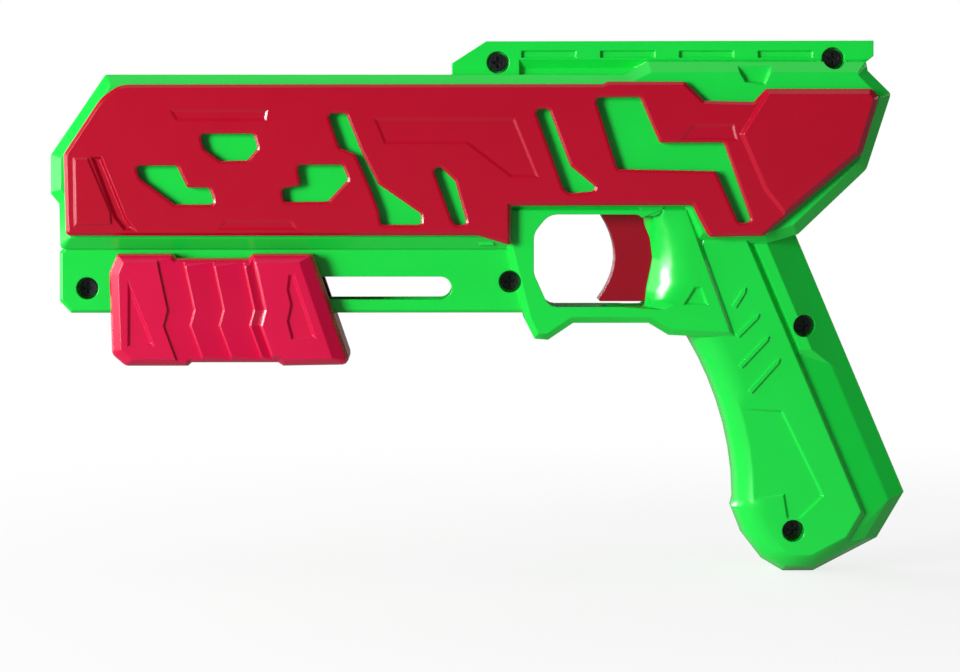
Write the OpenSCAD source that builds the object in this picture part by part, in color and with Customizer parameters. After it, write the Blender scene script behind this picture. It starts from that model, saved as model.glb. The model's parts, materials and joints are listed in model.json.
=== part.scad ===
// Spinning top launcher: a pump pistol that winds a top with a rack and pushes it off with the trigger.
// All sizes are in mm. X runs from the nose to the rear, Z is up, and the two shells part at Y = 0.

/* [Receiver] */
// Length from the nose to the rear point
receiver_len = 233; // [222:1:250]
// Height from the receiver floor to its top edge
receiver_h = 48.5; // [47:0.5:52]
// Width over both shells without the covers
receiver_w = 28; // [27.5:0.5:32]
// Height of the launch axis above the receiver floor
axis_h = 20.5; // [20:0.5:22]
// Wall of the shells
wall = 2; // [1.6:0.1:2.3]
// Width of the sloping edge round the receiver
bevel = 3; // [2:0.1:3.4]
// Corner radius of the mouldings
corner_r = 1.2; // [0.8:0.1:1.5]

/* [Top rail] */
// Length of the rail
rail_len = 118; // [108:1:120]
// Height of the rail above the receiver
rail_h = 9.6; // [8.6:0.2:11]
// Width of the rail over both shells
rail_w = 13; // [12:0.2:15]
// Pockets along each side of the rail
rail_pockets = 4; // [2:1:4]

/* [Lower body] */
// Depth of the lower body under the receiver
lower_h = 17.9; // [17:0.1:20]
// Width of the lower body
lower_w = 20; // [19:0.5:22]
// Height of the slot that guides the forend
slot_h = 6.4; // [5.8:0.1:7]

/* [Trigger guard] */
// Length of the finger opening
open_len = 33.5; // [32:0.5:36]
// Height of the finger opening
open_h = 25.8; // [24:0.2:28]
// Thickness of the bar under the finger opening
guard_bar = 4.5; // [3.5:0.1:5.5]
// Width of the guard over both shells
guard_w = 26.4; // [25:0.2:27.2]

/* [Grip] */
// Drop of the grip below the receiver floor
grip_len = 91; // [84:1:98]
// Length of the grip along X from its front root to its heel
grip_span = 66; // [62:0.5:68]
// Width of the grip over both shells
grip_w = 24; // [22:0.5:26]
// Width of the rounding along the front of the grip
grip_round = 8.5; // [6:0.5:10]
// Width of the sloping strip along the back of the grip
grip_strip = 13.8; // [11:0.2:15]

/* [Covers] */
// Thickness of a side cover
cover_t = 3; // [2.4:0.1:3.6]
// Height of the raised rear panel above the cover
panel_raise = 1; // [0.6:0.1:1.4]
// Depth of the shallow reliefs
relief = 0.6; // [0.4:0.1:0.9]
// Sloping edge of a cover
cover_bevel = 0.9; // [0.5:0.1:1.2]

/* [Forend] */
// Length of the pump forend
forend_len = 66.8; // [63:0.2:70]
// Height of the forend
forend_h = 31.2; // [30:0.2:34]
// Width of the forend
forend_w = 36; // [34:0.5:38]
// Travel of the forend
forend_travel = 34; // [30:0.5:35]
// Depth of the grip waves on the forend
wave_depth = 1.3; // [0.8:0.1:1.6]

/* [Trigger] */
// Width of the trigger
trigger_w = 11; // [9:0.5:12]
// Diameter of the trigger pin
trigger_pin_d = 3; // [2.6:0.1:3.2]

/* [Drive] */
// Diameter of the socket that takes the stem of a top
stem_d = 8.4; // [8:0.1:8.6]
// Depth of the stem socket
stem_depth = 12; // [11:0.5:13]
// Diameter of the spindle head
head_d = 12; // [11.6:0.1:12.4]
// Module of the rack and its pinion
rack_module = 1; // [0.95:0.01:1.05]
// Module of the crown teeth
crown_module = 0.8; // [0.76:0.01:0.82]
// Diameter of the ejector rod
rod_d = 3; // [2.6:0.1:3]
// Diameter of the gear axle
axle_d = 4; // [3.6:0.1:4.4]

/* [Fasteners and clearances] */
// Shank diameter of the screws
screw_d = 2.6; // [2.2:0.1:2.9]
// Diameter of the screw heads
screw_head_d = 5; // [4.6:0.1:5.4]
// Diameter of the countersunk screw wells
well_d = 6.2; // [5.8:0.1:6.4]
// Gap between pieces that slide on each other
slide_gap = 0.4; // [0.3:0.05:0.45]
// Gap between fixed pieces that seat in each other
seat_gap = 0.05; // [0.04:0.01:0.08]
// Gap of a running fit on its radius
run_gap = 0.05; // [0.03:0.01:0.08]

/* [Hidden] */
$fn = 40;
corner_steps = 3;
least_r = 0.2;
slope_share = 1.1;
// Main heights and widths that the pieces share
floor_z = -axis_h;
top_z = receiver_h - axis_h;
half_w = receiver_w / 2;
frame_at = [0, floor_z];
frame_size = [receiver_len, receiver_h];
lower_floor = floor_z - lower_h;
lower_half = lower_w / 2;
guard_half = guard_w / 2;
grip_half = grip_w / 2;
// Outline of the receiver: shares of its length, its height and the corner radius
receiver_shares = [
    [0.061, 1, 1], [-0.005, 0.538, 1], [-0.005, 0.319, 1], [0.005, 0.261, 0], [0.006, 0, 1],
    [0.545, 0, 1], [0.553, 0.205, 0], [0.749, 0.205, 0], [0.766, 0.03, 0], [0.852, 0.03, 2],
    [0.889, 0.082, 2], [0.971, 0.457, 3], [1, 0.89, 1], [0.972, 1.023, 0], [0.97, 1.075, 0.5],
    [0.709, 1.075, 0.5], [0.679, 1, 0]];
// Outline of the cover in the frame of the receiver
cover_shares = [
    [0.079, 0.942, 6], [0.0565, 0.861, 7], [0.0126, 0.544, 1], [0.015, 0.079, 1], [0.505, 0.079, 0],
    [0.5445, 0.022, 0.5], [0.5445, 0.249, 0], [0.761, 0.252, 0], [0.778, 0.094, 1],
    [0.7825, 0.07, 0], [0.846, 0.076, 1], [0.964, 0.553, 2], [0.979, 0.8, 0], [0.983, 0.873, 1],
    [0.9736, 0.919, 1], [0.8486, 0.919, 1], [0.834, 0.844, 1], [0.775, 0.85, 1], [0.751, 0.9596, 1],
    [0.66, 0.9596, 0], [0.654, 0.945, 0]];
// Windows of the cover
window_shares = [
    [[0.175, 0.66, 0.8], [0.18, 0.575, 0.8], [0.199, 0.507, 0.8], [0.2305, 0.511, 0.8], [0.243, 0.579, 0.8],
        [0.238, 0.66, 0.8]],
    [[0.098, 0.478, 0.8], [0.104, 0.405, 0.8], [0.145, 0.259, 0.8], [0.192, 0.259, 0.8], [0.185, 0.352, 0.8],
        [0.159, 0.352, 0.8], [0.1465, 0.478, 0.8]],
    [[0.2905, 0.482, 0.8], [0.295, 0.364, 0.8], [0.272, 0.346, 0.8], [0.275, 0.274, 0.8], [0.326, 0.276, 0.8],
        [0.3505, 0.4, 0.8], [0.3437, 0.483, 0.8]],
    [[0.327, 0.776, 0.8], [0.341, 0.584, 0.8], [0.36, 0.545, 0.8], [0.378, 0.348, 0], [0.388, 0.22, 0],
        [0.39, 0.143, 0.8], [0.438, 0.143, 0.8], [0.437, 0.204, 0.8], [0.3865, 0.372, 0.8],
        [0.3665, 0.557, 0], [0.348, 0.776, 0.8]],
    [[0.4525, 0.46, 0.8], [0.475, 0.166, 0], [0.48, 0.14, 0.8], [0.492, 0.145, 0.8], [0.478, 0.388, 0],
        [0.461, 0.469, 0.8]],
    [[0.5735, 0.801, 0.8], [0.608, 0.344, 0.8], [0.615, 0.323, 0.8], [0.6505, 0.337, 0.8],
        [0.615, 0.476, 0.8], [0.5895, 0.801, 0.8]],
    [[0.645, 0.867, 0.8], [0.672, 0.461, 0.8], [0.789, 0.45, 0.8], [0.8165, 0.153, 0.8], [0.8315, 0.155, 0.8],
        [0.798, 0.61, 0.8], [0.7215, 0.608, 0.8], [0.698, 0.869, 0.8]]];
// Shallow sunk panels of the cover
sunk_shares = [
    [[0.381, 0.752], [0.394, 0.602], [0.492, 0.602], [0.5445, 0.411], [0.578, 0.411], [0.549, 0.752]],
    [[0.138, 0.8], [0.147, 0.734], [0.254, 0.734], [0.256, 0.8]],
    [[0.193, 0.11], [0.292, 0.11], [0.284, 0.168], [0.204, 0.168]],
    [[0.744, 0.622], [0.815, 0.622], [0.81, 0.717], [0.762, 0.717]]];
// Groove down the front of the cover
groove_shares = [
    [0.045, 0.532], [0.0725, 0.18], [0.085, 0.105], [0.1, 0.105], [0.0875, 0.18], [0.058, 0.532]];
sunk_depth = relief * 0.5;
sunk_run = relief * 1.2;
groove_depth = relief * 1.7;
groove_run = relief * 1.4;
// Chamfer round the windows, its depth and the draft of the walls under it
window_edge = relief * 1.2;
window_edge_depth = relief * 0.42;
window_draft = relief * 0.2;
// Raised rear panel and raised front panel of the cover
panel_shares = [
    [0.8165, 0.661], [0.846, 0.335], [0.8705, 0.19], [0.9615, 0.556, 2], [0.977, 0.8], [0.981, 0.868, 1],
    [0.9725, 0.911, 1], [0.8495, 0.911, 1]];
front_panel_shares = [[0.0245, 0.525], [0.0255, 0.134], [0.0705, 0.14], [0.0695, 0.215], [0.0425, 0.525]];
// Posts that hold a cover to its shell
post_shares = [[0.045, 0.7], [0.27, 0.9], [0.63, 0.6], [0.91, 0.7]];
post_d = wall * 1.5;
post_len = wall * 2;
// Notch in the side of the receiver under the rail
notch_shares = [[0.807, 1.1], [0.8245, 0.954], [0.848, 0.94], [0.863, 1.1]];
// Finger opening: its front edge, its ceiling and its outline
guard_x = receiver_len * 0.5717;
open_top = floor_z + receiver_h * 0.198;
open_floor = open_top - open_h;
open_at = [guard_x, open_floor];
open_size = [open_len, open_h];
open_shares = [
    [0.13, 0, 3], [0.935, 0, 1], [0.95, 0.2, 3], [1, 0.52, 4], [0.98, 0.74, 4], [0.9, 1, 2], [0.13, 1, 4],
    [0.005, 0.8, 4], [0.005, 0.36, 4]];
// Outer edge of the guard, written in the same frame
guard_low = open_floor - guard_bar;
guard_lip = guard_low - guard_bar * 0.95;
// Recess in the guard bar for the swing of the trigger's tip
trigger_recess = guard_bar * 0.4;
guard_shares = [
    [-0.275, 1.11, 0], [-0.23, 0.686, 0], [-0.066, -0.147, 1], [0.012, -0.345, 2], [0.125, -0.357, 2]];
// Sloping mouth behind the trigger and small sunk triangle beside it
mouth_top_shares = [[1.09, -0.03], [1.34, 0.1], [1.36, 0.33], [1.087, 1.06]];
mouth_low_shares = [[0.84, 0.03], [0.93, 0.2], [0.96, 0.6], [0.92, 0.96]];
mouth_back_shares = [[0.9, 0.96], [0.75, 0.5], [0.74, 0]];
mouth_steps = 8;
mouth_mix_shares = [0, 0.16, 0.45, 1, 1.1];
mouth_level_shares = [0.4, 0.62, 0.84, 1, 1.03];
dart_shares = [[1.25, 0.02], [1.46, 0.02], [1.4, 0.22], [1.345, 0.22]];
// Front curve and back of the trigger in the same frame
trigger_curve_shares = [[0.575, 0.985], [0.74, 0.66], [0.72, 0.36], [0.55, 0.07]];
trigger_back_shares = [[0.565, 0.05], [0.97, 0.05], [1.07, 0.5], [1.06, 0.94]];
// Grip: place, outline and the edge treatment of each side
grip_x = guard_x + open_len * 1.158;
grip_at = [grip_x, floor_z];
grip_size = [grip_span, grip_len];
grip_curve_shares = [[0.03, -0.225], [0.167, -0.368], [0.273, -0.565], [0.273, -0.774]];
grip_curve_steps = 8;
grip_heel_shares = [
    [0.264, -0.801], [0.311, -0.887], [0.389, -0.96], [0.482, -1], [0.612, -1], [0.885, -0.897],
    [1, -0.755], [0.502, 0.093], [0.121, 0.093]];
grip_level_shares = [0, 0.375, 0.65, 0.7, 0.85, 0.94, 1];
grip_front_shares = [0, 0, 0.1, 0.15, 0.35, 0.58, 1];
grip_back_shares = [0, 0, 0.35, 0.4, 0.94, 0.97, 1];
grip_butt_shares = [0, 0, 0.27, 0.35, 0.62, 0.81, 1];
grip_butt = grip_round * 0.6;
grip_heel_mix_shares = [1, 0.7, 0.4, 0.1, 0];
grip_tail_share = 0.4;
grip_root_share = 0.25;
palm_shares = [
    [0.23, -0.487], [0.23, -0.785], [0.474, -0.7615], [0.491, -0.832], [0.546, -0.832], [0.648, -0.7615],
    [0.47, -0.497]];
// Raised rib on the upper back of the grip: its foot and its top, with a wide facet on the back side
rib_foot_shares = [[0.249, 0.093], [0.555, -0.429], [0.8065, -0.429], [0.4995, 0.093]];
rib_top_shares = [[0.3076, 0.093], [0.544, -0.31], [0.594, -0.31], [0.357, 0.093]];
rib_level_shares = [0.367, 0.908];
slash_shares = [
    [[0.268, -0.172], [0.303, -0.131]], [[0.285, -0.262], [0.357, -0.21]], [[0.297, -0.357], [0.399, -0.279]],
    [[0.339, -0.434], [0.446, -0.348]]];
// Rail place: it ends past the rear of the receiver
rail_end = receiver_len * 0.981;
rail_x = rail_end - rail_len;
rail_half = rail_w / 2;
pocket_pitch = rail_len * 0.187;
pocket_len = pocket_pitch * 0.69;
// Forend place and outline
forend_x = receiver_len * 0.065;
forend_top = floor_z - slide_gap * 3;
forend_floor = forend_top - forend_h;
forend_half = forend_w / 2;
forend_at = [forend_x, forend_floor];
forend_size = [forend_len, forend_h];
forend_shares = [
    [0.037, 1, 0], [0.0025, 0.834, 2], [0.0125, 0.104, 2], [0.069, 0, 2], [0.329, 0, 0], [0.344, 0.03, 0],
    [0.704, 0.03, 0], [0.725, 0, 0], [1.008, 0.01, 1.5], [0.85, 1, 1], [0.6, 1, 0], [0.58, 0.96, 0],
    [0.285, 0.96, 0], [0.265, 1, 0]];
forend_bevel = forend_w * 0.075;
forend_edge_shares = [1, 1, 1, 0.7, 0.7, 0.7, 0.7, 0.7, 1.6, 0.85, 0.85, 0.85, 0.85, 0.85];
forend_level_shares = [0, -0.2, 0.3, 1.09];
wave_step_shares = [-0.12, 0.36, 0.5, 0.86, 1.12];
wave_lean_shares = [0.1, 0.018, 0.0355, 0.0, -0.02];
wave_shares = [0.205, 0.322, 0.443, 0.569, 0.612];
wave_land_share = 0.006;
crest_share = 0.0135;
crest_depth_share = 0.26;
wave_front_shares = [0.5, 0.12, 0.12, 0.12];
dent_shares = [
    [[0.083, 0.77], [0.0805, 0.175], [0.191, 0.185]],
    [[0.75, 0.82], [0.742, 0.68], [0.757, 0.55], [0.742, 0.4], [0.762, 0.235], [0.862, 0.25], [0.772, 0.82]]];
// Tongues of the carriage that run in the slots
tongue_x = forend_x + forend_len * 0.3;
tongue_len = forend_len * 0.576;
tongue_end = tongue_x + tongue_len;
slot_mid = lower_floor + lower_h * 0.385;
tongue_h = slot_h - slide_gap * 2;
slot_start = tongue_x - slot_h / 2;
slot_end = tongue_end + forend_travel + slot_h / 2 - slide_gap;
channel_half = lower_half + slide_gap;
tongue_half = channel_half + wall * 1.8;
// Gear train: the crown axis stands across the launch axis
rack_pinion_teeth = 12;
crown_teeth = 30;
spindle_teeth = 12;
rack_r = rack_module * rack_pinion_teeth / 2;
crown_r = crown_module * crown_teeth / 2;
pinion_r = crown_module * spindle_teeth / 2;
tooth_angle = 20;
gear_x = forend_x + forend_len * 0.643;
mesh_x = gear_x - crown_r;
crown_face = crown_module * 3;
crown_root = pinion_r + crown_module * 1.15;
crown_t = wall * 0.9;
spur_y = crown_root + crown_t;
spur_end = half_w - wall - slide_gap * 1.2;
rack_gap = slide_gap * 0.75;
rack_y = spur_y + rack_gap;
rack_low = -rack_r - rack_module * 3.6;
rack_pitch = rack_module * PI;
rack_back = ceil(forend_travel / rack_pitch) + 2;
backlash = rack_module * 0.14;
// Spindle stations along the launch axis
neck_d = head_d * 0.58;
bush_x = mesh_x - crown_face * 7.8;
bush_len = head_d / 2;
collar_end = mesh_x - crown_face * 2.9;
collar_len = wall * 1.4;
shaft_d = rod_d + wall * 1.1;
saw_h = wall / 2;
pinion_end = mesh_x + crown_face * 1.4;
clip_x = pinion_end + wall * 2.4;
clip_t = wall / 2;
spindle_end = clip_x + clip_t * 2;
spindle_bore = rod_d + run_gap * 2;
// Ejector, its wall, its spring and the trigger pivot
rib_x = guard_x - wall * 7.5;
rib_t = wall * 2;
pivot_x = guard_x + open_len * 0.985;
pivot_z = open_top + receiver_h * 0.062;
nose_r = wall;
rod_end = pivot_x - nose_r * 2 - seat_gap;
rod_x = stem_depth + run_gap * 4;
collar_x = rod_end - open_len * 0.55;
spring_wire = wall * 0.4;
guide_y = -half_w * 0.46;
guide_z = floor_z + axis_h * 0.46;
guide_d = rod_d;
guide_x = tongue_end - wall * 4;
// Screws of the shells, the front one, two in the rail, one at the guard and two in the grip
seat_y = rail_half * 0.66;
screw_head_h = rail_half * 0.28;
screw_len = half_w * 0.78;
screws = [
    [lower_h * 0.49, lower_floor + lower_h * 0.385],
    [rail_x + rail_len * 0.109, top_z + rail_h * 0.36],
    [rail_x + rail_len * 0.903, top_z + rail_h * 0.48],
    [guard_x - open_len * 0.193, open_floor + open_h * 0.272],
    [grip_x + grip_span * 0.563, floor_z - grip_len * 0.238],
    [grip_x + grip_span * 0.5176, floor_z - grip_len * 0.869]];
rail_boss_h = seat_y + wall;
screw_boss_h = [lower_half - wall / 2, rail_boss_h, rail_boss_h, rail_boss_h, rail_boss_h, grip_half * 0.75];
forend_screws = [
    [forend_x + forend_len * 0.19, forend_floor + forend_h * 0.2],
    [forend_x + forend_len * 0.74, forend_floor + forend_h * 0.2]];
over = wall / 4;

// Points of an outline from shares of a frame
function place(shares, at, size) = [for (s = shares) [at[0] + s[0] * size[0], at[1] + s[1] * size[1]]];
function radii(shares) = [for (s = shares) len(s) > 2 ? s[2] * corner_r : 0];
function same(n, d) = [for (i = [1:n]) d];
function unit(v) = v / norm(v);
function side_of(v) = [-v[1], v[0]];
function bezier(p, t) =
    let (s = 1 - t)
    p[0] * pow(s, 3) + (p[1] * s + p[2] * t) * 3 * s * t + p[3] * pow(t, 3);
function spin(v, a) = [v[0] * cos(a) - v[1] * sin(a), v[0] * sin(a) + v[1] * cos(a)];

// Outline moved inward, each edge by its own distance
function inset(pts, d) =
    let (n = len(pts))
    [for (i = [0:n - 1])
        let (j = (i + n - 1) % n, e = unit(pts[i] - pts[j]), f = unit(pts[(i + 1) % n] - pts[i]),
            a = pts[i] + side_of(e) * d[j], b = pts[i] + side_of(f) * d[i], turn = cross(e, f))
        abs(turn) < 0.001 ? b : a + e * cross(b - a, f) / turn];

// Inset outline with its corners rounded; the count of points doesn't depend on the distance
function ring(pts, r, d) =
    let (n = len(pts), q = inset(pts, d))
    [for (i = [0:n - 1])
        let (p = q[i], e = unit(p - q[(i + n - 1) % n]), f = unit(q[(i + 1) % n] - p),
            turn = atan2(cross(e, f), e * f),
            k = r[i] == 0 ? 0 : turn > 0 ? max(r[i] - d[i], least_r) : r[i] + d[i],
            s = turn > 0 ? 1 : -1, start = p - e * k * tan(abs(turn) / 2), hub = start + side_of(e) * k * s)
        each k == 0 ? [p] : [for (c = [0:corner_steps]) hub + spin(start - hub, turn * c / corner_steps)]];
function outline(shares, at, size, d = 0) =
    ring(place(shares, at, size), radii(shares), same(len(shares), d));

// Triangles of a plain outline, cut off corner by corner
function clear_of(p, a, b, c) = cross(b - a, p - a) < 0 || cross(c - b, p - b) < 0 || cross(a - c, p - c) < 0;
function corner_ok(pts, ids, k) =
    let (n = len(ids), a = ids[(k + n - 1) % n], b = ids[k], c = ids[(k + 1) % n])
    cross(pts[b] - pts[a], pts[c] - pts[b]) > 0
    && len([for (q = ids)
        if (q != a && q != b && q != c && !clear_of(pts[q], pts[a], pts[b], pts[c])) q]) == 0;
function next_corner(pts, ids, k = 0) =
    k >= len(ids) ? 0 : corner_ok(pts, ids, k) ? k : next_corner(pts, ids, k + 1);
function triangles(pts, ids, made = []) =
    len(ids) < 3 ? made :
    let (n = len(ids), k = next_corner(pts, ids))
    triangles(pts, [for (i = [0:n - 1]) if (i != k) ids[i]],
        concat(made, [[ids[(k + n - 1) % n], ids[k], ids[(k + 1) % n]]]));

// Solid through a stack of outlines with the same count of points
module loft(rings, heights) {
    n = len(rings[0]);
    m = len(rings);
    points = [for (k = [0:m - 1]) for (p = rings[k]) [p[0], p[1], heights[k]]];
    sides = [for (k = [0:m - 2]) for (i = [0:n - 1])
        let (j = (i + 1) % n, a = k * n, b = a + n) each [[a + i, b + i, b + j], [a + i, b + j, a + j]]];
    low = triangles(rings[0], [for (i = [0:n - 1]) i]);
    top = triangles(rings[m - 1], [for (i = [0:n - 1]) i]);
    high = [for (t = top) [for (c = [2, 1, 0]) t[c] + n * (m - 1)]];
    polyhedron(points, concat(sides, low, high));
}

// The same with its outer face cut flat at a height
module flat_loft(rings, heights, top) {
    intersection() {
        loft(rings, heights);
        linear_extrude(top) square(receiver_len * 3, center = true);
    }
}

// Slab with a sloping edge on its outer face
module slab(pts, r, from, to, slope) {
    flat_loft([for (k = [0, 0, slope_share]) ring(pts, r, same(len(pts), slope * k))],
        [from, to - slope, to + slope * (slope_share - 1)], to);
}

module plate(shares, at, size, from, to, slope) {
    slab(place(shares, at, size), radii(shares), from, to, slope);
}

// Sunk panel with sloping walls, as a cutter
module sink(shares, at, size, face, depth, run = relief) {
    pts = place(shares, at, size);
    rise = over * run / depth;
    loft([for (d = [run, -rise]) inset(pts, same(len(pts), d))], [face - depth, face + over]);
}

module left_side() {
    rotate([90, 0, 0]) children();
}

module right_side() {
    mirror([0, 1, 0]) rotate([90, 0, 0]) children();
}

module along_x(x) {
    translate([x, 0, 0]) rotate([0, 90, 0]) children();
}

module across_y(x, y, z) {
    translate([x, y, z]) rotate([-90, 0, 0]) children();
}

module tube(outer, inner, h) {
    difference() {
        cylinder(h = h, r = outer);
        translate([0, 0, -over]) cylinder(h = h + over * 2, r = inner);
    }
}

// Helical wire spring along Z
module coil(mean_r, wire, length, turns) {
    steps = turns * 8;
    rise = length - wire;
    points = [for (k = [0:steps]) for (j = [0:5])
        let (a = 360 * k / 8, t = mean_r + wire / 2 * cos(60 * j))
        [t * cos(a), t * sin(a), wire / 2 + rise * k / steps + wire / 2 * sin(60 * j)]];
    sides = [for (k = [0:steps - 1]) for (j = [0:5])
        let (i = (j + 1) % 6, a = k * 6, b = a + 6) each [[a + j, b + i, b + j], [a + j, a + i, b + i]]];
    caps = [for (j = [1:4]) each [[0, j + 1, j], [steps * 6, steps * 6 + j, steps * 6 + j + 1]]];
    polyhedron(points, concat(sides, caps));
}

// Outlines of the shells
grip_points = concat(
    [for (k = [0:grip_curve_steps])
        bezier(place(grip_curve_shares, grip_at, grip_size), k / grip_curve_steps)],
    place(grip_heel_shares, grip_at, grip_size));
// Edge distances of the grip in order: front curve, heel corner, butt, back, top and front root
function grip_edges(front, butt, back, top) = concat(
    same(grip_curve_steps, front),
    [for (m = grip_heel_mix_shares) butt + (front - butt) * m],
    [butt, butt + (back - butt) * grip_tail_share, back, top, front * grip_root_share]);

lower_points = [
    [wall * 1.2, floor_z + wall * 2], [wall * 1.2, floor_z + over], [wall / 2, floor_z - wall / 2],
    [wall / 2, lower_floor + lower_h * 0.19], [wall * 2.1, lower_floor],
    [guard_x - open_len * 0.06, lower_floor], [guard_x - open_len * 0.06, floor_z + wall * 2]];

guard_points = concat(
    place(guard_shares, open_at, open_size),
    [[guard_x + open_len * 0.334, guard_low], [guard_x + open_len * 0.961, guard_low],
        [guard_x + open_len * 1.128, guard_lip + guard_bar * 0.2], [guard_x + open_len * 1.705, guard_lip],
        [guard_x + open_len * 1.666, guard_low], [guard_x + open_len * 1.307, open_top + open_h * 0.11]]);

module receiver_block() {
    plate(receiver_shares, frame_at, frame_size, 0, half_w, bevel);
}

module lower_block() {
    slab(lower_points, same(len(lower_points), 0), 0, lower_half, wall * 0.4);
}

module guard_block() {
    slab(guard_points, same(len(guard_points), 0), 0, guard_half, guard_bar * 0.38);
}

module grip_block() {
    loft([for (k = [0:len(grip_level_shares) - 1])
            inset(grip_points, grip_edges(grip_round * grip_front_shares[k], grip_butt * grip_butt_shares[k],
                grip_strip * grip_back_shares[k], 0))],
        [for (s = grip_level_shares) s * grip_half]);
}

module grip_rib() {
    loft([for (s = [rib_foot_shares, rib_top_shares]) place(s, grip_at, grip_size)],
        [for (s = rib_level_shares) s * grip_half]);
}

// Rail: its side outline crossed with its undercut section, which starts behind the front screw
module rail_block() {
    rise = rail_h * 0.45;
    top = top_z + rail_h;
    neck = rail_half * 0.72;
    intersection() {
        left_side() linear_extrude(rail_half + over) polygon([
            [rail_x, top_z - over], [rail_end - wall, top_z - over], [rail_end - wall, top_z + rail_h * 0.38],
            [rail_end, top_z + rail_h * 0.55], [rail_end, top], [rail_x + rail_h, top - over / 2],
            [rail_x, top_z + rail_h * 0.33]]);
        union() {
            along_x(rail_x - wall) linear_extrude(rail_len + wall * 2) polygon([
                [-top_z + wall, 0], [-top - over, 0], [-top - over, -rail_half], [-top_z - rise, -rail_half],
                [-top_z - rail_h * 0.2, -neck], [-top_z + wall, -neck]]);
            translate([rail_x - wall, -rail_half, top_z - wall])
                cube([rail_len * 0.16 + wall, rail_half, rail_h + wall * 2]);
        }
    }
}

module rail_pocket_cuts() {
    for (i = [0:rail_pockets - 1])
        translate([rail_x + rail_len * 0.165 + i * pocket_pitch, -rail_half - over, top_z + rail_h * 0.5])
            cube([pocket_len, over + relief * 1.5, rail_h * 0.2]);
}

module outer_form() {
    left_side() receiver_block();
    left_side() lower_block();
    left_side() guard_block();
    left_side() grip_block();
    left_side() grip_rib();
    rail_block();
}

module hollows() {
    left_side() translate([0, 0, -over]) linear_extrude(half_w - wall + over)
        polygon(inset(place(receiver_shares, frame_at, frame_size), same(len(receiver_shares), wall)));
    translate([wall * 2, wall - lower_half, lower_floor + wall])
        cube([rib_x - wall * 2, lower_half, lower_h + wall]);
    left_side() translate([0, 0, -over]) linear_extrude(grip_half * 0.66 + over)
        polygon(inset(grip_points, grip_edges(grip_round * 0.5, grip_butt, grip_strip * 0.7, wall * 5)));
}

// Cross wall that carries the bush or the ejector, kept inside the receiver
module cross_wall(x, t, low, high) {
    intersection() {
        translate([x, -half_w, low]) cube([t, half_w, high - low]);
        left_side() linear_extrude(half_w - wall / 2) polygon(inset(
            place(receiver_shares, frame_at, frame_size), same(len(receiver_shares), wall / 2)));
    }
}

module bosses() {
    for (i = [0:len(screws) - 1]) left_side() translate([screws[i][0], screws[i][1], 0])
        cylinder(h = screw_boss_h[i], r = well_d / 2 + wall * 0.6);
    left_side() translate([pivot_x, pivot_z, trigger_w / 2 + slide_gap])
        cylinder(h = half_w - trigger_w / 2 - slide_gap - wall / 2, r = trigger_pin_d / 2 + wall);
    cross_wall(rib_x, rib_t, floor_z, -floor_z * 0.3);
    difference() {
        cross_wall(bush_x, bush_len, -head_d * 0.8, head_d * 0.8);
        translate([bush_x - over, -half_w, -half_w])
            cube([bush_len + over * 2, half_w - rack_y + rack_gap * 2, half_w - rack_r * 0.75]);
    }
}

// Holes that both shells have
module shared_holes() {
    along_x(-wall) cylinder(h = bush_x + wall + over, r = head_d / 2 + slide_gap * 0.75);
    along_x(bush_x - over) cylinder(h = bush_len + over * 2, r = head_d * 0.42 + seat_gap);
    along_x(rib_x - over) cylinder(h = rib_t + over * 2, r = rod_d / 2 + run_gap * 2);
    left_side() translate([0, 0, -over]) linear_extrude(half_w + wall)
        polygon(outline(open_shares, open_at, open_size));
    translate([guard_x + open_len * 0.6, -trigger_w / 2 - slide_gap, open_floor - trigger_recess])
        cube([open_len * 0.7, trigger_w, trigger_recess + open_h + receiver_h * 0.05]);
    across_y(pivot_x, -half_w + wall, pivot_z) cylinder(h = half_w, r = trigger_pin_d / 2 + seat_gap);
    slot_run = slot_end - slot_start - slot_h;
    translate([slot_start + slot_h / 2, -lower_half - over, slot_mid - slot_h / 2])
        cube([slot_run, wall * 2, slot_h]);
    for (x = [slot_start + slot_h / 2, slot_end - slot_h / 2])
        across_y(x, -lower_half - over, slot_mid) cylinder(h = wall * 2, r = slot_h / 2);
    for (s = place(post_shares, frame_at, frame_size))
        across_y(s[0], -half_w - over, s[1]) cylinder(h = wall * 2, r = post_d / 2 + seat_gap);
}

// Surface detail: notch under the rail, mouth of the guard, sunk palm and the slashes of the grip
module details() {
    left_side() sink(notch_shares, frame_at, frame_size, half_w, relief * 3);
    left_side() sink(dart_shares, open_at, open_size, guard_half, relief * 1.4);
    left_side() sink(palm_shares, grip_at, grip_size, grip_half, relief);
    left_side() mouth();
    rail_pocket_cuts();
}

// Mouth behind the trigger: it slopes from the finger opening out to the face of the guard
module mouth() {
    low = place(mouth_low_shares, open_at, open_size);
    top = place(mouth_top_shares, open_at, open_size);
    loft([for (m = mouth_mix_shares) concat(
            [for (k = [0:mouth_steps]) bezier(low + (top - low) * m, k / mouth_steps)],
            place(mouth_back_shares, open_at, open_size))],
        [for (s = mouth_level_shares) s * guard_half]);
}

module slashes() {
    for (s = slash_shares) {
        p = place(s, grip_at, grip_size);
        v = unit(p[1] - p[0]) * wall * 0.45;
        w = side_of(v);
        bar = [p[0] - v - w, p[1] - w, p[1] + v * 2, p[1] + w, p[0] + w - v];
        loft([for (d = [-relief / 2, relief / 2]) inset(bar, same(len(bar), d))],
            [grip_half * 0.8, grip_half + relief * 0.7]);
    }
}

module shell_form() {
    difference() {
        union() {
            difference() {
                union() {
                    outer_form();
                    left_side() slashes();
                }
                hollows();
                details();
            }
            bosses();
        }
        shared_holes();
    }
}

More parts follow.
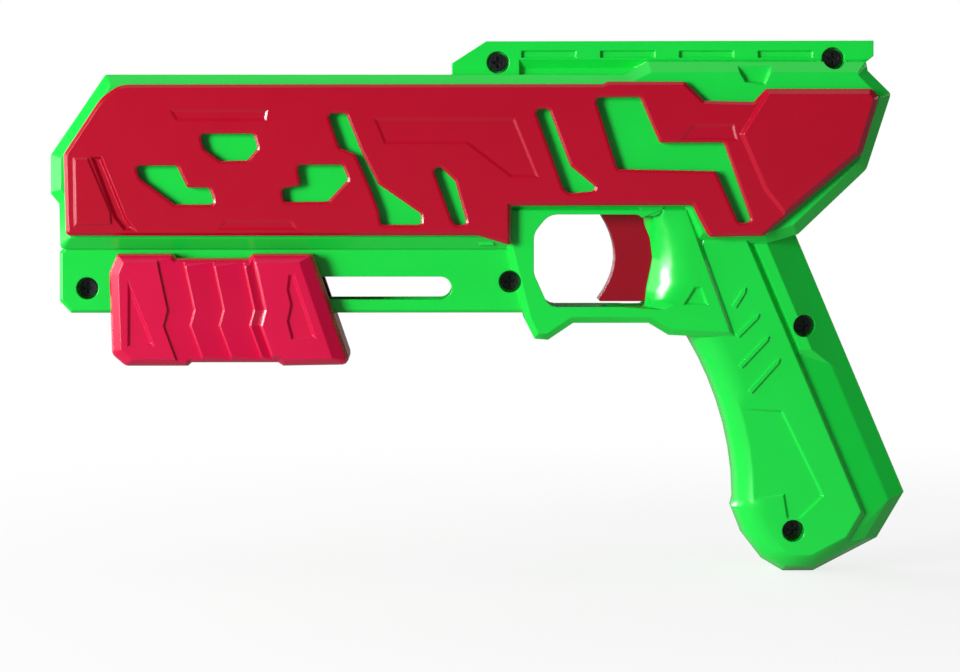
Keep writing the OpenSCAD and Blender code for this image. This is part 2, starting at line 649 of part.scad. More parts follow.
module left_shell() {
    color([0.13, 0.86, 0.27])
    difference() {
        shell_form();
        for (s = screws) {
            left_side() translate([s[0], s[1], seat_y]) cylinder(h = half_w, r = well_d / 2);
            left_side() translate([s[0], s[1], -over]) cylinder(h = half_w, r = screw_d / 2 + slide_gap / 2);
        }
        translate([0, guide_y, guide_z]) along_x(rib_x - over)
            cylinder(h = rib_t * 0.75 + over, r = guide_d / 2 + seat_gap);
    }
}

module right_shell() {
    color([0.13, 0.86, 0.27])
    difference() {
        union() {
            mirror([0, 1, 0]) shell_form();
            across_y(gear_x, spur_end + rack_gap, 0)
                cylinder(h = half_w - spur_end - rack_gap - wall / 2, r = axle_d * 1.1);
        }
        for (s = screws)
            across_y(s[0], -over, s[1])
                cylinder(h = screw_len - seat_y + over * 2, r = screw_d / 2 + seat_gap);
        across_y(gear_x, spur_y, 0) cylinder(h = half_w - wall * 0.4 - spur_y, r = axle_d / 2 + seat_gap);
    }
}

// Cover seen from the left: plate, windows, sunk panels, raised panels and posts
module cover_form() {
    base = half_w + seat_gap;
    face = base + cover_t;
    top = face + panel_raise;
    difference() {
        union() {
            plate(cover_shares, frame_at, frame_size, base, face, cover_bevel);
            plate(panel_shares, frame_at, frame_size, base, top, panel_raise * 1.1);
        }
        for (w = window_shares)
            loft([for (d = [0, window_draft, window_draft + window_edge, window_draft + window_edge])
                    outline(w, frame_at, frame_size, -d)],
                [base - over, face - window_edge_depth, face, top + over]);
        for (s = sunk_shares) sink(s, frame_at, frame_size, face, sunk_depth, sunk_run);
        sink(groove_shares, frame_at, frame_size, face, groove_depth, groove_run);
    }
    plate(front_panel_shares, frame_at, frame_size, face - relief, face + relief * 0.8, relief * 0.8);
    for (s = place(post_shares, frame_at, frame_size))
        translate([s[0], s[1], half_w - post_len]) cylinder(h = post_len + cover_t / 2, r = post_d / 2);
}

module left_cover() {
    color([0.75, 0.05, 0.18]) left_side() cover_form();
}

module right_cover() {
    color([0.75, 0.05, 0.18]) right_side() cover_form();
}

// Pan head screw with a cross recess; it points along +Z with its head below zero
module screw(length) {
    difference() {
        union() {
            translate([0, 0, -screw_head_h]) cylinder(h = screw_head_h, r = screw_head_d / 2);
            translate([0, 0, -over]) cylinder(h = length + over, r = screw_d / 2);
        }
        for (a = [0, 90])
            rotate([0, 0, a]) translate([-screw_head_d * 0.32, -screw_head_d * 0.08, -screw_head_h - over])
                cube([screw_head_d * 0.64, screw_head_d * 0.16, screw_head_h * 0.6 + over]);
    }
}

module shell_screws() {
    color([0.45, 0.46, 0.48])
    for (s = screws) across_y(s[0], -seat_y, s[1]) screw(screw_len);
}

// One trough of the forend grip between two leaning lines, with its depth at each line
module wave(from, to, front, rear) {
    n = len(wave_step_shares);
    lines = [for (s = [from, to]) [for (k = [0:n - 1])
        [forend_x + (s + wave_lean_shares[k]) * forend_len, forend_floor + wave_step_shares[k] * forend_h]]];
    points = [for (side = [0, 1]) for (up = [0, 1]) for (p = lines[side])
        [p[0], p[1], up == 1 ? forend_half + over : forend_half - wave_depth * (side == 0 ? front : rear)]];
    // Point index by line, level and step
    function at(side, up, k) = side * n * 2 + up * n + k;
    strips = [for (k = [0:n - 2]) each [
        [at(0, 0, k), at(1, 0, k + 1), at(0, 0, k + 1)], [at(0, 0, k), at(1, 0, k), at(1, 0, k + 1)],
        [at(0, 1, k), at(0, 1, k + 1), at(1, 1, k + 1)], [at(0, 1, k), at(1, 1, k + 1), at(1, 1, k)],
        [at(0, 0, k), at(0, 0, k + 1), at(0, 1, k + 1)], [at(0, 0, k), at(0, 1, k + 1), at(0, 1, k)],
        [at(1, 0, k), at(1, 1, k + 1), at(1, 0, k + 1)], [at(1, 0, k), at(1, 1, k), at(1, 1, k + 1)]]];
    ends = [
        [at(0, 0, 0), at(0, 1, 0), at(1, 1, 0)], [at(0, 0, 0), at(1, 1, 0), at(1, 0, 0)],
        [at(0, 0, n - 1), at(1, 1, n - 1), at(0, 1, n - 1)],
        [at(0, 0, n - 1), at(1, 0, n - 1), at(1, 1, n - 1)]];
    polyhedron(points, concat(strips, ends));
}

module forend_form() {
    pts = place(forend_shares, forend_at, forend_size);
    deck = lower_floor - slide_gap;
    difference() {
        flat_loft([for (k = [0, 0, 0.22, 1.1])
                ring(pts, radii(forend_shares), [for (e = forend_edge_shares) e * k * forend_bevel])],
            [for (k = forend_level_shares) k == 0 ? 0 : forend_half + (k - 1) * forend_bevel], forend_half);
        translate([forend_x - wall, deck, -over])
            cube([forend_len + wall * 2, forend_h, channel_half + over]);
        difference() {
            translate([forend_x + forend_len * 0.09, forend_floor + wall * 1.4, -over])
                cube([forend_len * 0.76, deck - forend_floor - wall * 2.4, forend_half - wall * 2 + over]);
            for (s = forend_screws) translate([s[0], s[1], -wall])
                cylinder(h = forend_half, r = well_d / 2 + wall * 0.6);
        }
        translate([tongue_x - seat_gap, slot_mid - tongue_h / 2 - seat_gap, channel_half - over])
            cube([tongue_len + seat_gap * 2, tongue_h + seat_gap * 2,
                tongue_half - channel_half + over + seat_gap]);
        for (k = [0:len(wave_shares) - 2]) {
            wave(wave_shares[k] + wave_land_share, wave_shares[k + 1], wave_front_shares[k], 1);
            wave(wave_shares[k + 1] - crest_share / 20, wave_shares[k + 1] + crest_share, crest_depth_share,
                -crest_depth_share / 6);
        }
        for (s = dent_shares) sink(s, forend_at, forend_size, forend_half, relief * 1.3);
    }
}

module forend_left() {
    color([0.84, 0.07, 0.28])
    difference() {
        left_side() forend_form();
        for (s = forend_screws) left_side() translate([s[0], s[1], -over])
            cylinder(h = screw_len - seat_y + over * 2, r = screw_d / 2 + seat_gap);
    }
}

module forend_right() {
    color([0.84, 0.07, 0.28])
    difference() {
        right_side() forend_form();
        for (s = forend_screws) {
            across_y(s[0], seat_y, s[1]) cylinder(h = forend_half, r = well_d / 2);
            across_y(s[0], -over, s[1]) cylinder(h = seat_y * 2, r = screw_d / 2 + slide_gap / 2);
        }
    }
}

module forend_fixings() {
    color([0.45, 0.46, 0.48])
    for (s = forend_screws) translate([s[0], seat_y, s[1]]) rotate([90, 0, 0]) screw(screw_len);
}

// Rack outline: a gap of the rack stands under the gear axis at rest
function rack_tooth(x) =
    let (half = rack_pitch / 4 - backlash / 2, up = rack_module * 0.62, down = rack_module * 1.1,
        lean = tan(tooth_angle))
    [[x - half - down * lean, -rack_r - down], [x - half + up * lean, -rack_r + up],
        [x + half - up * lean, -rack_r + up], [x + half + down * lean, -rack_r - down]];

module rack_carriage() {
    block_top = -crown_r - crown_face / 2 - slide_gap;
    block_low = slot_mid - tongue_h / 2;
    block_half = lower_half - wall - slide_gap;
    rack_end = gear_x + rack_pitch * 2;
    rack_start = gear_x - rack_pitch * rack_back;
    rack_root = rack_low + rack_module * 2;
    shelf_low = floor_z + wall + slide_gap;
    lug = wall * 2;
    color([0.16, 0.16, 0.18])
    difference() {
        union() {
            translate([tongue_x, -block_half, block_low])
                cube([tongue_len, block_half * 2, block_top - block_low]);
            translate([tongue_x, -tongue_half, block_low]) cube([tongue_len, tongue_half * 2, tongue_h]);
            translate([tongue_x, -block_half + over, shelf_low])
                cube([tongue_len, block_half + spur_end - over, block_top - shelf_low - seat_gap]);
            translate([0, spur_end, 0]) rotate([90, 0, 0]) linear_extrude(spur_end - rack_y) polygon(concat(
                [[rack_start, shelf_low + over / 2], [rack_end, shelf_low + over / 2], [rack_end, rack_root]],
                [for (k = [1:-1:1 - rack_back])
                    let (t = rack_tooth(gear_x + rack_pitch * (k - 0.5))) each [t[3], t[2], t[1], t[0]]],
                [[rack_start, rack_root]]));
            translate([tongue_end - lug, guide_y - guide_d, shelf_low + over])
                cube([lug, guide_d * 2, guide_z + guide_d - shelf_low - over]);
        }
        translate([0, guide_y, guide_z]) along_x(tongue_end - lug * 2)
            cylinder(h = lug * 3, r = guide_d / 2 + run_gap);
    }
}

module forend_spring() {
    color([0.7, 0.71, 0.73])
    translate([0, guide_y, guide_z]) along_x(tongue_end + seat_gap)
        coil(guide_d / 2 + spring_wire * 1.4, spring_wire, rib_x - tongue_end - seat_gap * 2, 10);
}

module spring_guide() {
    color([0.7, 0.71, 0.73])
    translate([0, guide_y, guide_z]) along_x(guide_x)
        cylinder(h = rib_x + rib_t * 0.7 - guide_x, r = guide_d / 2);
}

// Involute tooth outline of a spur gear
function involute(r, base) = r <= base ? 0 : let (a = acos(base / r)) tan(a) * 180 / PI - a;
function gear_points(teeth, m, up, down, slack) =
    let (rp = teeth * m / 2, base = rp * cos(tooth_angle),
        half = 90 / teeth - slack / rp * 45 / PI + involute(rp, base),
        levels = [rp - down * m, (base + rp) / 2, rp, rp + up * m / 2, rp + up * m])
    [for (i = [0:teeth - 1]) let (c = 360 * i / teeth)
        each concat([for (r = levels) let (a = c - half + involute(r, base)) [r * cos(a), r * sin(a)]],
            [for (k = [4:-1:0])
                let (r = levels[k], a = c + half - involute(r, base)) [r * cos(a), r * sin(a)]])];

// Crown wheel with the rack pinion on its back
module compound_gear() {
    low = crown_root - crown_module * 1.55;
    root = crown_root + over / 2;
    half = crown_module * PI / 4 - backlash * 1.4;
    lean = tan(tooth_angle) * crown_module;
    color([0.93, 0.92, 0.88])
    difference() {
        union() {
            across_y(gear_x, crown_root, 0) cylinder(h = crown_t, r = crown_r + crown_face / 2);
            translate([gear_x, spur_end, 0]) rotate([90, 0, 0]) linear_extrude(spur_end - spur_y + over)
                polygon(gear_points(rack_pinion_teeth, rack_module, 0.85, 1.15, backlash));
            for (i = [0:crown_teeth - 1])
                translate([gear_x, 0, 0]) rotate([0, 360 * i / crown_teeth, 0])
                    translate([-crown_r - crown_face / 2 + over / 5, 0, 0])
                        rotate([90, 0, 90]) linear_extrude(crown_face - over / 5) polygon([
                            [root, -half - lean], [low, lean * 0.6 - half], [low, half - lean * 0.6],
                            [root, half + lean]]);
        }
        across_y(gear_x, 0, 0) cylinder(h = half_w, r = axle_d / 2 + run_gap);
    }
}

module gear_axle() {
    color([0.7, 0.71, 0.73]) {
        across_y(gear_x, crown_root - seat_gap * 2 - crown_t / 2, 0)
            cylinder(h = crown_t / 2, r = axle_d * 0.85);
        across_y(gear_x, crown_root - seat_gap * 2 - over, 0)
            cylinder(h = half_w - wall * 0.5 - crown_root + seat_gap * 2 + over, r = axle_d / 2);
    }
}

// One saw tooth of the clutch, pointing along +X from x
module saw_teeth(x, turn, dir) {
    run = neck_d * 0.1;
    for (a = [0:60:300])
        rotate([a + turn, 0, 0]) translate([x, 0, shaft_d / 2 + wall * 0.15]) linear_extrude(wall * 0.9)
            polygon([[-over * dir, -run], [dir * saw_h, run], [-over * dir, run]]);
}

module spindle() {
    neck = stem_depth + wall;
    groove = clip_x - seat_gap;
    color([0.2, 0.2, 0.22])
    difference() {
        union() {
            along_x(0) cylinder(h = neck, r = head_d / 2);
            along_x(neck - over) cylinder(h = collar_end - neck, r = neck_d / 2);
            along_x(collar_end - collar_len) cylinder(h = collar_len, r = head_d * 0.45);
            along_x(collar_end - over) cylinder(h = spindle_end - collar_end + over, r = shaft_d / 2);
            saw_teeth(collar_end, 0, 1);
        }
        along_x(-over) cylinder(h = stem_depth + over, r = stem_d / 2);
        along_x(0) cylinder(h = spindle_end + wall, r = spindle_bore / 2);
        translate([-over, -stem_d * 0.14, -head_d])
            cube([stem_depth * 0.55 + over, stem_d * 0.28, head_d * 2]);
        along_x(groove) tube(head_d, shaft_d / 2 - wall * 0.15, clip_t + seat_gap * 2);
    }
}

module spindle_bush() {
    color([0.79, 0.63, 0.33]) along_x(bush_x) tube(head_d * 0.42, neck_d / 2 + run_gap, bush_len);
}

module ratchet_pinion() {
    front = collar_end + saw_h + run_gap * 2;
    color([0.93, 0.92, 0.88])
    difference() {
        union() {
            along_x(front) linear_extrude(pinion_end - front) rotate([0, 0, 180 / spindle_teeth])
                polygon(gear_points(spindle_teeth, crown_module, 0.7, 1.1, backlash * 1.2));
            saw_teeth(front, 30, -1);
        }
        along_x(front - wall) cylinder(h = pinion_end - front + wall * 2, r = shaft_d / 2 + run_gap);
    }
}

module clutch_spring() {
    color([0.7, 0.71, 0.73]) along_x(pinion_end + seat_gap)
        coil(shaft_d / 2 + spring_wire * 0.75, spring_wire * 0.7, clip_x - pinion_end - seat_gap * 2, 4);
}

module retaining_clip() {
    color([0.45, 0.46, 0.48]) along_x(clip_x)
        tube(shaft_d / 2 + wall * 0.4, shaft_d / 2 - wall * 0.15 + seat_gap, clip_t);
}

module ejector_rod() {
    color([0.7, 0.71, 0.73])
    union() {
        along_x(rod_x) cylinder(h = rod_end - rod_x, r = rod_d / 2);
        along_x(collar_x) cylinder(h = wall, r = rod_d);
    }
}

module ejector_spring() {
    color([0.7, 0.71, 0.73]) along_x(rib_x + rib_t + seat_gap)
        coil(rod_d / 2 + spring_wire, spring_wire * 0.75, collar_x - rib_x - rib_t - seat_gap * 2, 8);
}

// Trigger: curved finger blade, pivot boss and the arm that pushes the rod
module trigger() {
    boss = trigger_pin_d / 2 + wall;
    arm_w = trigger_w * 0.5;
    curve = place(trigger_curve_shares, open_at, open_size);
    color([0.84, 0.07, 0.28])
    difference() {
        union() {
            translate([0, trigger_w / 2, 0]) rotate([90, 0, 0]) linear_extrude(trigger_w)
                polygon(concat([for (k = [0:10]) bezier(curve, k / 10)],
                    place(trigger_back_shares, open_at, open_size),
                    [[pivot_x + boss * 0.7, pivot_z], [pivot_x - boss, pivot_z]]));
            across_y(pivot_x, -trigger_w / 2 + over, pivot_z) cylinder(h = trigger_w - over * 2, r = boss);
            translate([0, arm_w / 2, 0]) rotate([90, 0, 0]) linear_extrude(arm_w) polygon([
                [pivot_x - boss * 0.9, pivot_z], [pivot_x + boss * 0.8, pivot_z],
                [pivot_x + nose_r * 0.6, nose_r * 0.7], [pivot_x - nose_r, nose_r * 0.98],
                [pivot_x - nose_r * 1.9, 0]]);
            across_y(pivot_x - nose_r, -arm_w / 2 + over / 2, 0) cylinder(h = arm_w - over, r = nose_r);
        }
        across_y(pivot_x, -trigger_w, pivot_z) cylinder(h = trigger_w * 2, r = trigger_pin_d / 2 + run_gap);
    }
}

module trigger_pin() {
    color([0.7, 0.71, 0.73])
    across_y(pivot_x, wall * 1.2 - half_w, pivot_z)
        cylinder(h = receiver_w - wall * 2.4, r = trigger_pin_d / 2);
}

left_shell();
right_shell();
left_cover();
right_cover();
shell_screws();
forend_left();
forend_right();
forend_fixings();
rack_carriage();
forend_spring();
spring_guide();
compound_gear();
gear_axle();
spindle();
spindle_bush();
ratchet_pinion();
clutch_spring();
retaining_clip();
ejector_rod();
ejector_spring();
trigger();
trigger_pin();
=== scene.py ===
"""Pump launcher for spinning tops: glossy ABS mouldings over a steel and acetal drive."""
import json
import math

import bmesh
import bpy
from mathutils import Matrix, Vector


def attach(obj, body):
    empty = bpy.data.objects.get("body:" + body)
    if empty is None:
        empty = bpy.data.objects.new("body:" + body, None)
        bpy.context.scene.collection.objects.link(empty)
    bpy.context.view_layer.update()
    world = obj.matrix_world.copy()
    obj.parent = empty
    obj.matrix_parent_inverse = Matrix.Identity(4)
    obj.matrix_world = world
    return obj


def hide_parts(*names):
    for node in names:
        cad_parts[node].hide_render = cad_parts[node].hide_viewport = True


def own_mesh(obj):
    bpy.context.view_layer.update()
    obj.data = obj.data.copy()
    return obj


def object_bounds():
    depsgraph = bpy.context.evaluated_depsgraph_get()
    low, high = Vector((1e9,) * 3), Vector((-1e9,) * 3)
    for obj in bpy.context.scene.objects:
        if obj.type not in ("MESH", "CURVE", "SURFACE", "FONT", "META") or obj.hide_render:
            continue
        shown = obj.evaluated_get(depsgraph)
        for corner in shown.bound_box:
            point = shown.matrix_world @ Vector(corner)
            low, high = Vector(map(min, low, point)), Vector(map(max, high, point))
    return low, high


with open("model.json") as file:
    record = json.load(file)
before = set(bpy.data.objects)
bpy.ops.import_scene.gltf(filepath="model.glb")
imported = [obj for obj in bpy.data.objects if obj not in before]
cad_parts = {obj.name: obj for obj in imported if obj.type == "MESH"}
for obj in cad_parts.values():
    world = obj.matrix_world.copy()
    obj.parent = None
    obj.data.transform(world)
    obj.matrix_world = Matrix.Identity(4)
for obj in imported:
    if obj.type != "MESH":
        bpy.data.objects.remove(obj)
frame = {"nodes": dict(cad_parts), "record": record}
cad_low, cad_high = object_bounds()

MM = 0.001

# Frame of the photograph, its scale on the near side, and the pixels of the nose and of the barrel's axis
IMAGE_W = 960
IMAGE_H = 672
MM_PER_PIXEL = 0.28
NOSE_PIXEL = 57
AXIS_PIXEL = 175

# The camera stands before a pixel near the top of the picture, left of its middle;
# the scale holds on a plane that lies this far before the middle of the launcher
CAMERA_PIXEL = (430, 125)
CAMERA_DISTANCE = 1100 * MM
SCALE_PLANE = 7 * MM
SENSOR_MM = 36


def linear(hex_colour):
    """Linear RGBA of an sRGB hex value."""
    values = [int(hex_colour[i:i + 2], 16) / 255 for i in (1, 3, 5)]
    return [v / 12.92 if v <= 0.04045 else ((v + 0.055) / 1.055) ** 2.4 for v in values] + [1.0]


def add(tree, kind, links=None, **settings):
    """A shader node with its settings, socket values and links."""
    made = tree.nodes.new(kind)
    for key, value in settings.items():
        setattr(made, key, value)
    for socket, value in (links or {}).items():
        if isinstance(value, bpy.types.NodeSocket):
            tree.links.new(value, made.inputs[socket])
        else:
            made.inputs[socket].default_value = value
    return made


def new_material(name):
    """An empty material, its node tree and the place on the piece in metres."""
    material = bpy.data.materials.new(name)
    material.use_nodes = True
    tree = material.node_tree
    tree.nodes.clear()
    place = add(tree, "ShaderNodeTexCoord").outputs["Object"]
    return material, tree, place


# Ends of most of a noise's range
NOISE_LOW = 0.3
NOISE_HIGH = 0.7

# Mouldings: width of the flow clouds in the colour and of the smears in the gloss,
# how far the gloss goes either way, and the radius that polishing leaves on the edges
FLOW_CLOUD = 22 * MM
GLOSS_SMEAR = 9 * MM
GLOSS_SHARPER = 0.02
GLOSS_DULLER = 0.03
EDGE_RADIUS = 0.45 * MM
PLASTIC_IOR = 1.53

# Metal: depth of the marks of the work, and how far the sheen goes either way
MARK_DEPTH = 0.01 * MM
SHEEN_SHARPER = 0.07
SHEEN_DULLER = 0.1


def moulded_plastic(name, light, dark, rough, grain_mm, grain_depth_mm, coat):
    """Injection moulded plastic: faint flow clouds in the colour, uneven gloss and a tool texture.

    A polished tool leaves a finer texture; it is drawn as coarse as it needs to show.
    """
    material, tree, place = new_material(name)
    flow = add(tree, "ShaderNodeTexNoise", {
        "Vector": place, "Scale": 1 / FLOW_CLOUD, "Detail": 3.0, "Roughness": 0.55})
    colour = add(tree, "ShaderNodeMix", {
        "Factor": flow.outputs["Fac"], "A": linear(dark), "B": linear(light)}, data_type="RGBA")
    smear = add(tree, "ShaderNodeTexNoise", {
        "Vector": place, "Scale": 1 / GLOSS_SMEAR, "Detail": 4.0, "Roughness": 0.6})
    gloss = add(tree, "ShaderNodeMapRange", {
        "Value": smear.outputs["Fac"], "From Min": NOISE_LOW, "From Max": NOISE_HIGH,
        "To Min": rough - GLOSS_SHARPER, "To Max": rough + GLOSS_DULLER})
    grain = add(tree, "ShaderNodeTexNoise", {
        "Vector": place, "Scale": 1 / (grain_mm * MM), "Detail": 2.0})
    soft_edge = add(tree, "ShaderNodeBevel", {"Radius": EDGE_RADIUS}, samples=6)
    bump = add(tree, "ShaderNodeBump", {
        "Height": grain.outputs["Fac"], "Distance": grain_depth_mm * MM, "Strength": 1.0,
        "Normal": soft_edge.outputs["Normal"]})
    shader = add(tree, "ShaderNodeBsdfPrincipled", {
        "Base Color": colour.outputs["Result"], "Roughness": gloss.outputs["Result"],
        "Normal": bump.outputs["Normal"], "IOR": PLASTIC_IOR,
        "Coat Weight": coat, "Coat Roughness": 0.12})
    add(tree, "ShaderNodeOutputMaterial", {"Surface": shader.outputs["BSDF"]})
    return material


def worked_metal(name, light, dark, rough, mark_mm, stretch):
    """Drawn or turned metal: fine marks along the work and a duller, uneven sheen between them."""
    material, tree, place = new_material(name)
    lay = add(tree, "ShaderNodeMapping", {"Vector": place, "Scale": stretch})
    marks = add(tree, "ShaderNodeTexNoise", {
        "Vector": lay.outputs["Vector"], "Scale": 1 / (mark_mm * MM), "Detail": 3.0})
    colour = add(tree, "ShaderNodeMix", {
        "Factor": marks.outputs["Fac"], "A": linear(dark), "B": linear(light)}, data_type="RGBA")
    sheen = add(tree, "ShaderNodeMapRange", {
        "Value": marks.outputs["Fac"], "From Min": NOISE_LOW, "From Max": NOISE_HIGH,
        "To Min": rough - SHEEN_SHARPER, "To Max": rough + SHEEN_DULLER})
    bump = add(tree, "ShaderNodeBump", {
        "Height": marks.outputs["Fac"], "Distance": MARK_DEPTH, "Strength": 0.6})
    shader = add(tree, "ShaderNodeBsdfPrincipled", {
        "Base Color": colour.outputs["Result"], "Roughness": sheen.outputs["Result"],
        "Normal": bump.outputs["Normal"], "Metallic": 1.0})
    add(tree, "ShaderNodeOutputMaterial", {"Surface": shader.outputs["BSDF"]})
    return material


# Glossy green ABS from a polished tool: bright, saturated, with soft window reflections
green_abs = moulded_plastic("green_gloss_abs", "#14E44A", "#10DA40", 0.19, 0.5, 0.003, 0.2)
# Crimson ABS of the covers: deeper and a little less glossy than the shells
crimson_abs = moulded_plastic("crimson_gloss_abs", "#BE0029", "#B30023", 0.2, 0.5, 0.003, 0.2)
# Pink red ABS of the forend: brighter than the covers, with softer highlights on the waves
pink_red_abs = moulded_plastic("pink_red_gloss_abs", "#DE0648", "#D2043E", 0.22, 0.45, 0.0035, 0.2)
# Crimson ABS of the trigger, the deepest red of the mouldings: partly its own crimson, partly painted shade
# for the recess of the guard it sits in, with the dullest highlights of the mouldings outside
trigger_red_and_painted_shade = moulded_plastic("dark_crimson_abs", "#A60420", "#98031B", 0.24, 0.45, 0.0035, 0.1)
# Dark acetal of the carriage and the spindle: waxy and dull
dark_acetal = moulded_plastic("dark_acetal", "#2E2F33", "#26272A", 0.48, 0.35, 0.01, 0.0)
# Natural acetal of the gears: milky white, satin
white_acetal = moulded_plastic("natural_acetal", "#EFEDE4", "#E4E1D6", 0.42, 0.35, 0.008, 0.0)
# Blackened steel of the screws: dark, with a dull sheen at the bottom of their wells
black_steel = worked_metal("blackened_steel", "#4A4B4E", "#2E2F32", 0.36, 0.3, (1, 1, 1))
# Drawn steel of the pins and rods, with marks along their length
drawn_steel = worked_metal("drawn_steel", "#C9CCD0", "#AEB1B6", 0.26, 0.2, (0.05, 1, 1))
# Spring wire: bright and slightly oily
spring_wire = worked_metal("spring_wire_steel", "#BFC2C6", "#9FA2A8", 0.22, 0.25, (1, 1, 1))
# Turned brass of the bush, with rings from the lathe
turned_brass = worked_metal("turned_brass", "#D9B266", "#C29A4C", 0.28, 0.2, (1, 0.1, 0.1))

FINISH = {
    "green_shell": green_abs, "red_cover": crimson_abs, "red_forend": pink_red_abs,
    "dark_plastic": dark_acetal, "white_plastic": white_acetal, "screw_steel": black_steel,
    "bright_steel": drawn_steel, "spring_steel": spring_wire, "bush_brass": turned_brass}
# The trigger is a deeper red than the forend, whose slot it shares: crimson rather than pink red, and
# painted darker still as painted shade for the recess of the guard
NODE_FINISH = {"trigger": trigger_red_and_painted_shade}

SLOT = {row["node"]: row["material_slot"] for row in frame["record"]["subparts"]}
BODY = {node: body for body, nodes in frame["record"]["behaviour"]["bodies"].items()
        for node in nodes}

# Edges steeper than the round angle are rounded; low relief stays crisp from its own angle on
ROUND_ANGLE = math.radians(28)
RELIEF_ANGLE = math.radians(10)
# Rounding of each moulded piece in mm, and the angle from which its shallower edges stay crisp
EDGES = {
    "left_shell": (0.35, ROUND_ANGLE), "right_shell": (0.35, ROUND_ANGLE),
    "left_cover": (0.35, RELIEF_ANGLE), "right_cover": (0.35, RELIEF_ANGLE),
    "forend_left": (0.4, RELIEF_ANGLE), "forend_right": (0.4, RELIEF_ANGLE),
    "trigger": (1.2, ROUND_ANGLE),
    "shell_screws": (0.15, ROUND_ANGLE), "forend_fixings": (0.15, ROUND_ANGLE)}
# Points this near are one, faces this flat are one, and slivers this thin go
SAME_POINT = 0.002 * MM
SAME_FACE = math.radians(0.4)
SLIVER = 0.01 * MM
ROUND_STEPS = 2
FACE_WEIGHT = 80

# Springs: the joint that shortens each, its fixed end in mm and the share of its length that is left
SPRINGS = {
    "forend_spring": ("forend_slide", 118.2, 0.232),
    "ejector_spring": ("trigger_pull", 122.2, 0.901)}


def copy_of(node, ending):
    """A copy of a CAD node's mesh in an object of its own."""
    piece = bpy.data.objects.new(node + ending, frame["nodes"][node].data.copy())
    bpy.context.scene.collection.objects.link(piece)
    return piece


def dress(piece, node):
    """Gives a piece the finish of its node."""
    piece.data.materials.clear()
    piece.data.materials.append(NODE_FINISH.get(node, FINISH[SLOT[node]]))


def take_place(piece, node):
    """Lets a copy ride on the node's body in place of the node."""
    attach(piece, BODY[node])
    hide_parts(node)


def moulding(node, edge_mm, crease_angle):
    """A copy of a CAD node with its flat faces joined and its sharp edges rounded as a tool leaves them.

    Edges too shallow to round but steeper than the crease keep their faces apart, so that low relief shows.
    """
    piece = copy_of(node, "_moulding")
    bm = bmesh.new()
    bm.from_mesh(piece.data)
    bmesh.ops.remove_doubles(bm, verts=bm.verts, dist=SAME_POINT)
    bmesh.ops.dissolve_limit(
        bm, angle_limit=SAME_FACE, verts=bm.verts, edges=bm.edges, delimit=set())
    bmesh.ops.dissolve_degenerate(bm, edges=bm.edges, dist=SLIVER)
    for face in bm.faces:
        face.smooth = True
    for edge in bm.edges:
        edge.smooth = not crease_angle < edge.calc_face_angle(0) < ROUND_ANGLE
    bm.to_mesh(piece.data)
    bm.free()
    dress(piece, node)
    rounding = piece.modifiers.new("tool_radius", "BEVEL")
    rounding.width = edge_mm * MM
    rounding.segments = ROUND_STEPS
    rounding.limit_method = "ANGLE"
    rounding.angle_limit = ROUND_ANGLE
    rounding.use_clamp_overlap = True
    normals = piece.modifiers.new("flat_faces", "WEIGHTED_NORMAL")
    normals.keep_sharp = True
    normals.weight = FACE_WEIGHT
    take_place(piece, node)


def wire(node, joint, anchor_mm, keep):
    """A copy of a spring in a mesh of its own, with its node's finish, riding on the node's body in place
    of the node.
    """
    piece = copy_of(node, "_wire")
    dress(piece, node)
    take_place(piece, node)
    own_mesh(piece)


for node, solid in frame["nodes"].items():
    if node in EDGES:
        moulding(node, *EDGES[node])
    elif node in SPRINGS:
        wire(node, *SPRINGS[node])
    else:
        dress(solid, node)

# Floor just under the butt of the grip: at its centre it is mostly, and half a metre away wholly,
# the white of the studio, which the camera sees at full strength and the launcher more weakly
FLOOR_SIZE = 60
FLOOR_CENTRE_X = 0.205
FLOOR_FADE_END = 0.5
FLOOR_WHITE = 0.78
FLOOR_GLOW = 0.22
STUDIO_GLOW = 0.07
WHITE = (1, 1, 1, 1)


def studio_glow(tree, glow):
    """White for the camera, a weaker glow for the light that reaches the launcher."""
    seen = add(tree, "ShaderNodeLightPath").outputs["Is Camera Ray"]
    strength = add(tree, "ShaderNodeMapRange", {"Value": seen, "To Min": glow, "To Max": 1.0})
    return strength.outputs["Result"]


bpy.ops.mesh.primitive_plane_add(size=FLOOR_SIZE, location=(FLOOR_CENTRE_X, 0, cad_low.z))
floor = bpy.context.object
floor.name = "floor"
floor_paint, floor_tree, floor_place = new_material("pale_studio_floor")
reach = add(floor_tree, "ShaderNodeVectorMath", {0: floor_place}, operation="LENGTH")
fade = add(floor_tree, "ShaderNodeMapRange", {
    "Value": reach.outputs["Value"], "From Min": 0.0, "From Max": FLOOR_FADE_END,
    "To Min": FLOOR_WHITE}, interpolation_type="SMOOTHSTEP")
floor_near = add(floor_tree, "ShaderNodeBsdfPrincipled", {
    "Base Color": linear("#FAFAFA"), "Roughness": 0.7})
floor_far = add(floor_tree, "ShaderNodeEmission", {
    "Color": WHITE, "Strength": studio_glow(floor_tree, FLOOR_GLOW)})
floor_mix = add(floor_tree, "ShaderNodeMixShader", {
    0: fade.outputs["Result"], 1: floor_near.outputs["BSDF"], 2: floor_far.outputs["Emission"]})
add(floor_tree, "ShaderNodeOutputMaterial", {"Surface": floor_mix.outputs["Shader"]})
floor.data.materials.append(floor_paint)

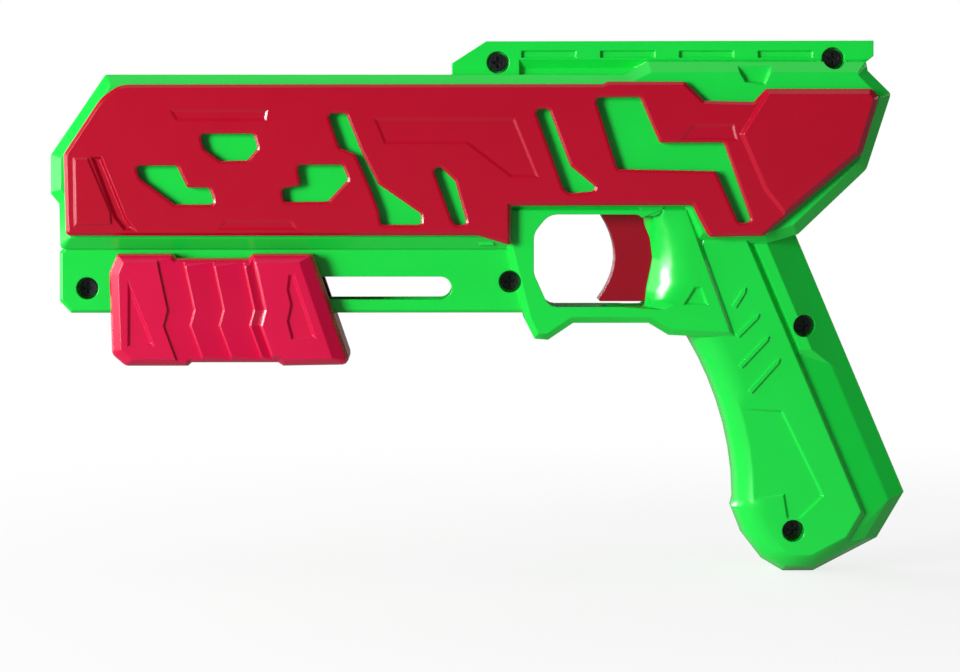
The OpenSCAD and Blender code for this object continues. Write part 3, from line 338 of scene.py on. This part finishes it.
# Soft lights that face the middle of the launcher: place and size in metres, power in watts
LIGHTS = {
    "key_window": ((-1.25, -1.45, 0.22), (0.6, 0.9), 45),
    "low_strip": ((-0.28, -0.4, -0.08), (0.28, 0.05), 0.3),
    "left_sheet": ((-1.0, 0.1, 0.05), (1.8, 0.9), 13),
    "right_fill": ((1.2, 0.3, 0.15), (0.6, 0.6), 2.0),
    "top_sheet": ((0.1, -0.2, 1.2), (1.2, 1.2), 2.4),
    "back_fill": ((-0.8, 1.2, 0.25), (1.4, 0.9), 20)}
middle = (cad_low + cad_high) / 2
for name, (at, size, watts) in LIGHTS.items():
    lamp = bpy.data.lights.new(name, "AREA")
    lamp.shape = "RECTANGLE"
    lamp.size, lamp.size_y = size
    lamp.energy = watts
    holder = bpy.data.objects.new(name, lamp)
    bpy.context.scene.collection.objects.link(holder)
    holder.location = at
    holder.rotation_mode = "QUATERNION"
    holder.rotation_quaternion = (middle - Vector(at)).to_track_quat("-Z", "Y")
    holder.visible_camera = False

# White studio round the launcher
world = bpy.data.worlds.new("white_studio")
bpy.context.scene.world = world
world.use_nodes = True
world_tree = world.node_tree
world_tree.nodes.clear()
sky = add(world_tree, "ShaderNodeBackground", {
    "Color": WHITE, "Strength": studio_glow(world_tree, STUDIO_GLOW)})
add(world_tree, "ShaderNodeOutputWorld", {"Surface": sky.outputs["Background"]})
bpy.context.scene.view_settings.view_transform = "Standard"

# Camera turned down and to the right, so that the whole launcher is in the frame without a shift
lens_data = bpy.data.cameras.new("photo_camera")
camera = bpy.data.objects.new("photo_camera", lens_data)
bpy.context.scene.collection.objects.link(camera)
bpy.context.scene.camera = camera
focal_pixels = (CAMERA_DISTANCE - SCALE_PLANE) / (MM_PER_PIXEL * MM)
lens_data.sensor_width = SENSOR_MM
lens_data.lens = SENSOR_MM * focal_pixels / IMAGE_W
tilt = math.atan((IMAGE_H / 2 - CAMERA_PIXEL[1]) / focal_pixels)
turn = math.atan((IMAGE_W / 2 - CAMERA_PIXEL[0]) / focal_pixels)
camera.location = (
    (CAMERA_PIXEL[0] - NOSE_PIXEL) * MM_PER_PIXEL * MM, -CAMERA_DISTANCE,
    (AXIS_PIXEL - CAMERA_PIXEL[1]) * MM_PER_PIXEL * MM)
camera.rotation_euler = (math.radians(90) - tilt, 0, -turn)
